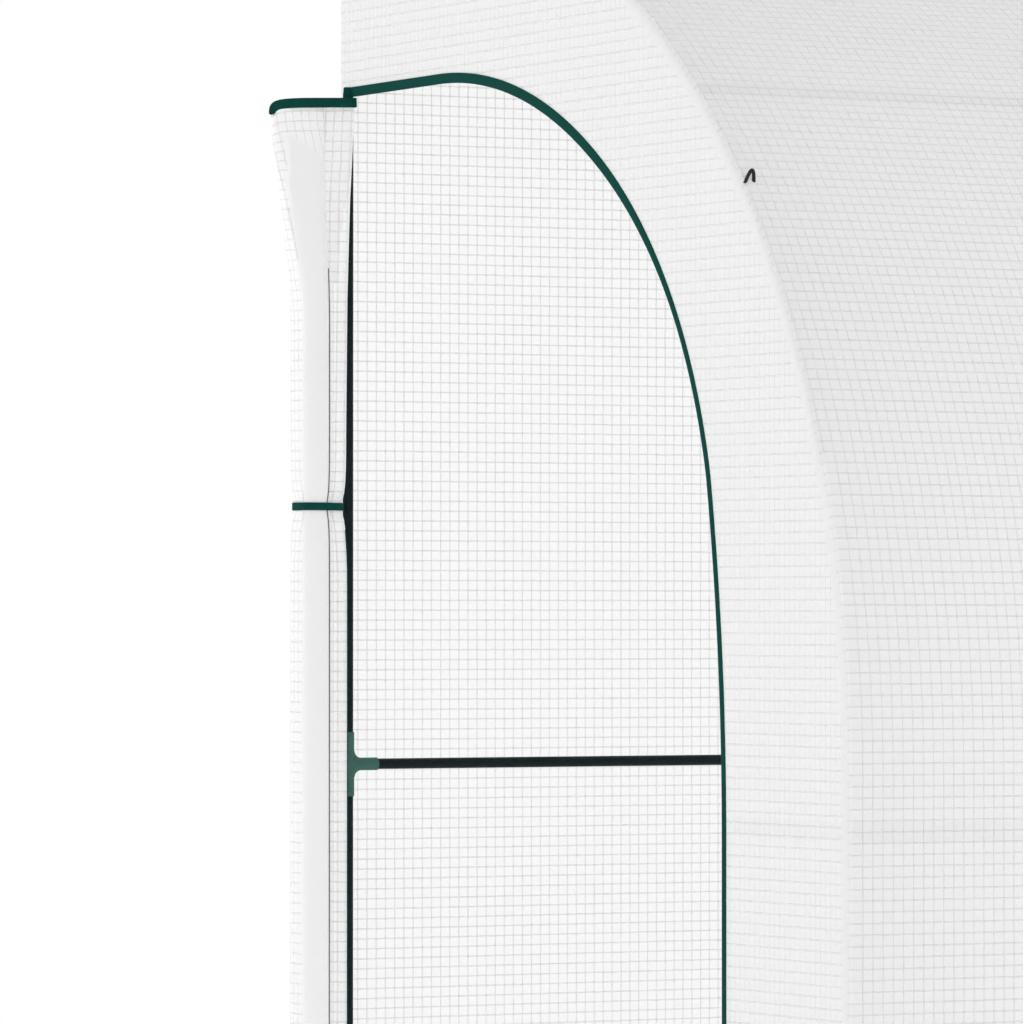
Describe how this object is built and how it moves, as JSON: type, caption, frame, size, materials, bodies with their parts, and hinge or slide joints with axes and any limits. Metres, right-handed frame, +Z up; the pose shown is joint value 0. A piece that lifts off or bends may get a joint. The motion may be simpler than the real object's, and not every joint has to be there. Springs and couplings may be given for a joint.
{
  "type": "lean-to walk-in greenhouse",
  "caption": "Lean-to walk-in greenhouse: tube frame under a white mesh cover, flat back, bowed front, and an arched zip doorway at each end with its door rolled aside and tied.",
  "frame": {"origin": "on the ground, at the middle of the plan", "axes": "+X along the wall side, +Y towards the wall, +Z up"},
  "size_m": [3.268, 1.5, 2.13],
  "materials": {
    "tube": "dark green-black satin coating",
    "connector": "moulded grey-green plastic",
    "cover": "white mesh-reinforced sheet, slightly translucent",
    "binding": "dark green woven tape",
    "loop_cord": "black braided cord"
  },
  "bodies": {
    "root": {"back_posts_lower": "tube", "back_posts_upper": "tube", "front_posts": "tube", "bows_lower": "tube", "bows_upper": "tube", "ridge_rails": "tube", "back_mid_rails": "tube", "back_base_rails": "tube", "purlins": "tube", "front_mid_rails": "tube", "front_base_rails": "tube", "end_base_rails": "tube", "end_mid_rails": "tube", "door_posts": "tube", "ridge_corners": "connector", "back_mid_tees": "connector", "back_base_feet": "connector", "purlin_crosses": "connector", "front_mid_tees": "connector", "front_base_feet": "connector", "door_post_feet": "connector", "door_post_elbows": "connector", "back_cover": "cover", "roof_cover": "cover", "bowed_cover": "cover", "front_skirt": "cover", "near_gable_cover": "cover", "near_shoulder_cover": "cover", "near_skirt": "cover", "far_gable_cover": "cover", "far_shoulder_cover": "cover", "far_skirt": "cover", "near_top_binding": "binding", "near_shoulder_binding": "binding", "near_side_binding": "binding", "far_top_binding": "binding", "far_shoulder_binding": "binding", "far_side_binding": "binding", "near_door_roll": "cover", "far_door_roll": "cover", "near_roll_binding": "binding", "far_roll_binding": "binding", "near_tie_strap": "binding", "far_tie_strap": "binding", "near_guy_loop": "loop_cord", "far_guy_loop": "loop_cord"}
  },
  "joints": []
}
